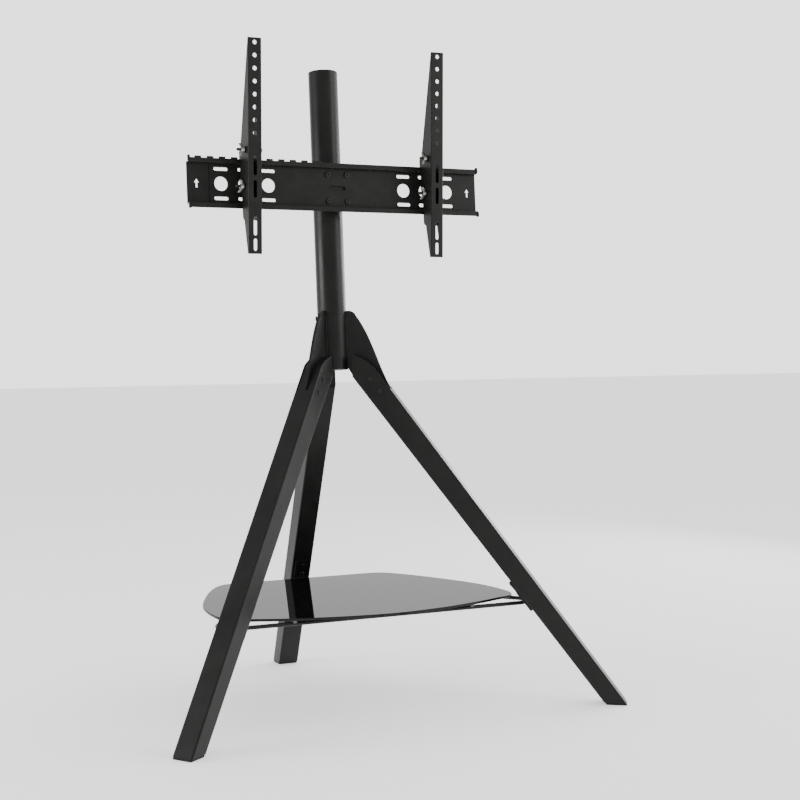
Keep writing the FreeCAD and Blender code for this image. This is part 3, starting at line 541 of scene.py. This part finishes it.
@dataclass
class ThreadedBolt:
    """One arm bolt: hexagon head on the right, cut thread on the left end."""

    side: Side
    bolt: ArmBolt
    nut: WingNutSet
    radius_mm: float = 3.0
    pitch_mm: float = 1.0
    thread_depth_mm: float = 0.42
    thread_from_mm: float = 14.5
    tip_mm: float = 31.5
    head_inner_mm: float = -15.9
    head_outer_mm: float = -20.0
    flats_mm: float = 10.0
    around: int = 36
    steps_per_pitch: int = 8

    def hexagon(self, inset: float) -> Callable[[float], float]:
        """Radius of the head at an angle: a hexagon, cut back to a circle by its chamfer."""
        apothem = self.flats_mm / 2

        def radius(angle: float) -> float:
            """Distance from the axis to the head's outline at this angle."""
            sixth = math.pi / 3
            turn = (angle % sixth) - sixth / 2
            return min(apothem / math.cos(turn), apothem * 1.155 - inset)

        return radius

    def thread(self, out_mm: float) -> Callable[[float], float]:
        """Radius of the thread at an angle, on a right-hand helix, fading in at its start and tip."""
        run_in = min(1.0, (out_mm - self.thread_from_mm) / self.pitch_mm)
        run_out = max(0.0, out_mm - (self.tip_mm - 0.8)) * 0.8

        def radius(angle: float) -> float:
            """Distance from the axis to the thread's flank at this angle."""
            phase = (out_mm / self.pitch_mm + angle / (2 * math.pi)) % 1.0
            valley = abs(phase * 2 - 1)
            return self.radius_mm - self.thread_depth_mm * valley * run_in - run_out

        return radius

    def build(self, wardrobe: Wardrobe) -> list[bpy.types.Object]:
        """Build the bolt.

        Args:
            wardrobe: finishes to dress it in.

        Returns:
            The bolt.
        """
        axis = self.nut.axis()
        chamfer = 0.6
        head = [
            axis.ring(self.head_outer_mm, self.flats_mm * 0.42, self.around),
            axis.ring(self.head_outer_mm, self.flats_mm * 0.475, self.around),
            axis.ring(self.head_outer_mm + chamfer, self.hexagon(0.1), self.around),
            axis.ring(self.head_inner_mm, self.hexagon(0.0), self.around),
        ]
        shank = [axis.ring(self.head_inner_mm, self.radius_mm, self.around),
                 axis.ring(self.thread_from_mm, self.radius_mm, self.around)]
        steps = int((self.tip_mm - self.thread_from_mm) / self.pitch_mm * self.steps_per_pitch)
        for i in range(1, steps + 1):
            out = self.thread_from_mm + (self.tip_mm - self.thread_from_mm) * i / steps
            shank.append(axis.ring(out, self.thread(out), self.around))
        node = f"{self.bolt.value}_bolt_{self.side.value}"
        made = as_object(skin(head + shank), f"{node}_threaded", smooth=False)
        wardrobe.put_on(made, "black_bolts")
        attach(made, f"hanger_{self.side.value}")
        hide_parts(node)
        return [made]


@dataclass
class HubWelds:
    """Weld beads along both sides of each fin, where it meets the hub tube."""

    tube_radius_mm: float = 30.0
    fin_half_mm: float = 3.0
    bead_mm: float = 1.7
    ripple_mm: float = 2.4
    low_mm: float = -34.0
    high_mm: float = 54.0
    around: int = 10

    def upright(self) -> Vector:
        """Direction of the leaning pole, from the joint that slides the rail along it."""
        joints = frame["record"]["behaviour"]["joints"]
        return Vector(next(j["axis"] for j in joints if j["name"] == "rail_height")).normalized()

    def bead(self, centre: Vector, up: Vector, azimuth: float) -> bmesh.types.BMesh:
        """One rippled bead that runs along the tube at an azimuth in radians."""
        out = Vector((math.cos(azimuth), math.sin(azimuth), 0.0))
        out = (out - up * out.dot(up)).normalized()
        aside = up.cross(out)
        steps = int((self.high_mm - self.low_mm) / self.ripple_mm * 4)
        rings = []
        for i in range(steps + 1):
            share = i / steps
            along = self.low_mm + (self.high_mm - self.low_mm) * share
            taper = min(1.0, 8 * share + 0.25, 8 * (1 - share) + 0.25)
            size = self.bead_mm * taper * (1 + 0.14 * math.sin(2 * math.pi * along / self.ripple_mm))
            spine = centre + up * (along * MM) + out * (self.tube_radius_mm * MM)
            ring = []
            for k in range(self.around):
                turn = 2 * math.pi * k / self.around
                ring.append(spine + (out * math.cos(turn) + aside * math.sin(turn)) * (size * MM))
            rings.append(ring)
        return skin(rings)

    def build(self, wardrobe: Wardrobe) -> list[bpy.types.Object]:
        """Build a pair of beads for each leg's fin.

        Args:
            wardrobe: finishes to dress them in.

        Returns:
            One piece for each fin.
        """
        low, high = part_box("hub_tube")
        centre = (Vector(low) + Vector(high)) / 2
        up = self.upright()
        spread = math.asin((self.fin_half_mm + 0.6) / self.tube_radius_mm)
        made = []
        for leg in Leg:
            middle = math.radians(leg.value)
            beads = [self.bead(centre, up, middle + sign * spread) for sign in (-1, 1)]
            piece = as_object(join(beads), f"hub_weld_{leg.name.lower()}")
            wardrobe.put_on(piece, "black_powder_coat")
            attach(piece, "stand")
            made.append(piece)
        return made


# --- studio ---------------------------------------------------------------------------------------------


@dataclass
class Softbox:
    """A rectangular studio light that points at the stand."""

    name: str
    place: tuple[float, float, float]
    size: tuple[float, float]
    watts: float
    aim: tuple[float, float, float] = (0.0, 0.0, 0.8)

    def build(self) -> bpy.types.Object:
        """Build the light."""
        data = bpy.data.lights.new(self.name, "AREA")
        data.shape = "RECTANGLE"
        data.size, data.size_y = self.size
        data.energy = self.watts
        lamp = bpy.data.objects.new(self.name, data)
        lamp.location = self.place
        lamp.rotation_euler = (Vector(self.aim) - Vector(self.place)).to_track_quat("-Z", "Z").to_euler()
        bpy.context.scene.collection.objects.link(lamp)
        return lamp


@dataclass
class Studio:
    """Pale floor, soft boxes, white room light and the camera."""

    target: tuple[float, float, float] = (0.0983, -0.0490, 0.5994)
    azimuth_deg: float = -26.506
    elevation_deg: float = 3.014
    distance: float = 3.2343
    lens_mm: float = 71.891
    floor_half: float = 14.0
    room_light: float = 2.3
    dim_side: float = 0.3
    bright_side: tuple[float, float, float] = (0.8, 0.6, -0.1)
    floor_glow: float = 0.6

    def build_floor(self) -> None:
        """Build a large pale floor just below the feet, lit a little from within like a light table."""
        mesh = bmesh.new()
        half = self.floor_half
        corners = [(-half, -half), (half, -half), (half, half), (-half, half)]
        mesh.faces.new([mesh.verts.new((x, y, -0.4 * MM)) for x, y in corners])
        floor = as_object(mesh, "studio_floor", smooth=False)
        paint = bpy.data.materials.new("floor_matt_white_vinyl")
        paint.use_nodes = True
        shader = paint.node_tree.nodes["Principled BSDF"]
        shader.inputs["Base Color"].default_value = linear("#f7f7f6")
        shader.inputs["Roughness"].default_value = 0.9
        shader.inputs["Specular IOR Level"].default_value = 0.1
        shader.inputs["Emission Color"].default_value = grey(1.0)
        shader.inputs["Emission Strength"].default_value = self.floor_glow
        floor.data.materials.append(paint)

    def build_room(self) -> None:
        """Fill the room with white light that fades towards the near left of the stand."""
        world = bpy.data.worlds.new("white_room")
        world.use_nodes = True
        tree = world.node_tree
        back = tree.nodes["Background"]
        place = add_node(tree, "ShaderNodeTexCoord").outputs["Generated"]
        side = add_node(tree, "ShaderNodeVectorMath", {"operation": "DOT_PRODUCT"}, {0: place})
        side.inputs[1].default_value = self.bright_side
        fade = ramp(tree, side.outputs["Value"], [(0.0, grey(self.dim_side)), (0.55, grey(1.0))])
        tree.links.new(fade, back.inputs["Color"])
        back.inputs["Strength"].default_value = self.room_light
        bpy.context.scene.world = world

    def build_lights(self) -> None:
        """Place the soft boxes: a tall strip on each side and a key light at the right front."""
        boxes = [
            Softbox("strip_left", (-2.6, 0.5, 1.1), (0.16, 1.5), 34.0),
            Softbox("strip_right", (2.4, 0.8, 1.1), (0.3, 2.2), 26.0),
            Softbox("key_right_front", (2.6, -2.2, 1.9), (1.2, 1.6), 30.0),
        ]
        for box in boxes:
            box.build()

    def build_camera(self) -> None:
        """Stand the camera in front and to the left, almost level."""
        turn = math.radians(self.azimuth_deg)
        rise = math.radians(self.elevation_deg)
        forward = Vector((-math.sin(turn) * math.cos(rise), math.cos(turn) * math.cos(rise), -math.sin(rise)))
        data = bpy.data.cameras.new("camera")
        data.lens = self.lens_mm
        data.sensor_width = 36.0
        camera = bpy.data.objects.new("camera", data)
        camera.location = Vector(self.target) - forward * self.distance
        camera.rotation_euler = forward.to_track_quat("-Z", "Y").to_euler()
        bpy.context.scene.collection.objects.link(camera)
        bpy.context.scene.camera = camera

    def build(self) -> None:
        """Build the whole studio."""
        self.build_room()
        self.build_floor()
        self.build_lights()
        self.build_camera()


# --- build ------------------------------------------------------------------------------------------------

WING_TURN_DEG = {ArmBolt.PIVOT: -12.0, ArmBolt.LOCK: 18.0}


def main() -> None:
    """Dress the CAD nodes, build the extra pieces in order and report each one."""
    logging.basicConfig(level=logging.INFO, format="%(name)s: %(message)s")
    Studio().build()
    wardrobe = Wardrobe()
    log.info("dressed %d CAD nodes", wardrobe.dress_nodes())
    builders: list = [GlassShelf(), HubWelds()]
    for side in Side:
        for bolt in ArmBolt:
            nut = WingNutSet(side, bolt, WING_TURN_DEG[bolt])
            builders += [nut, ThreadedBolt(side, bolt, nut)]
    for builder in builders:
        for piece in builder.build(wardrobe):
            log.info("%s: %d faces", piece.name, len(piece.data.polygons))


if __name__ == "__main__":
    main()
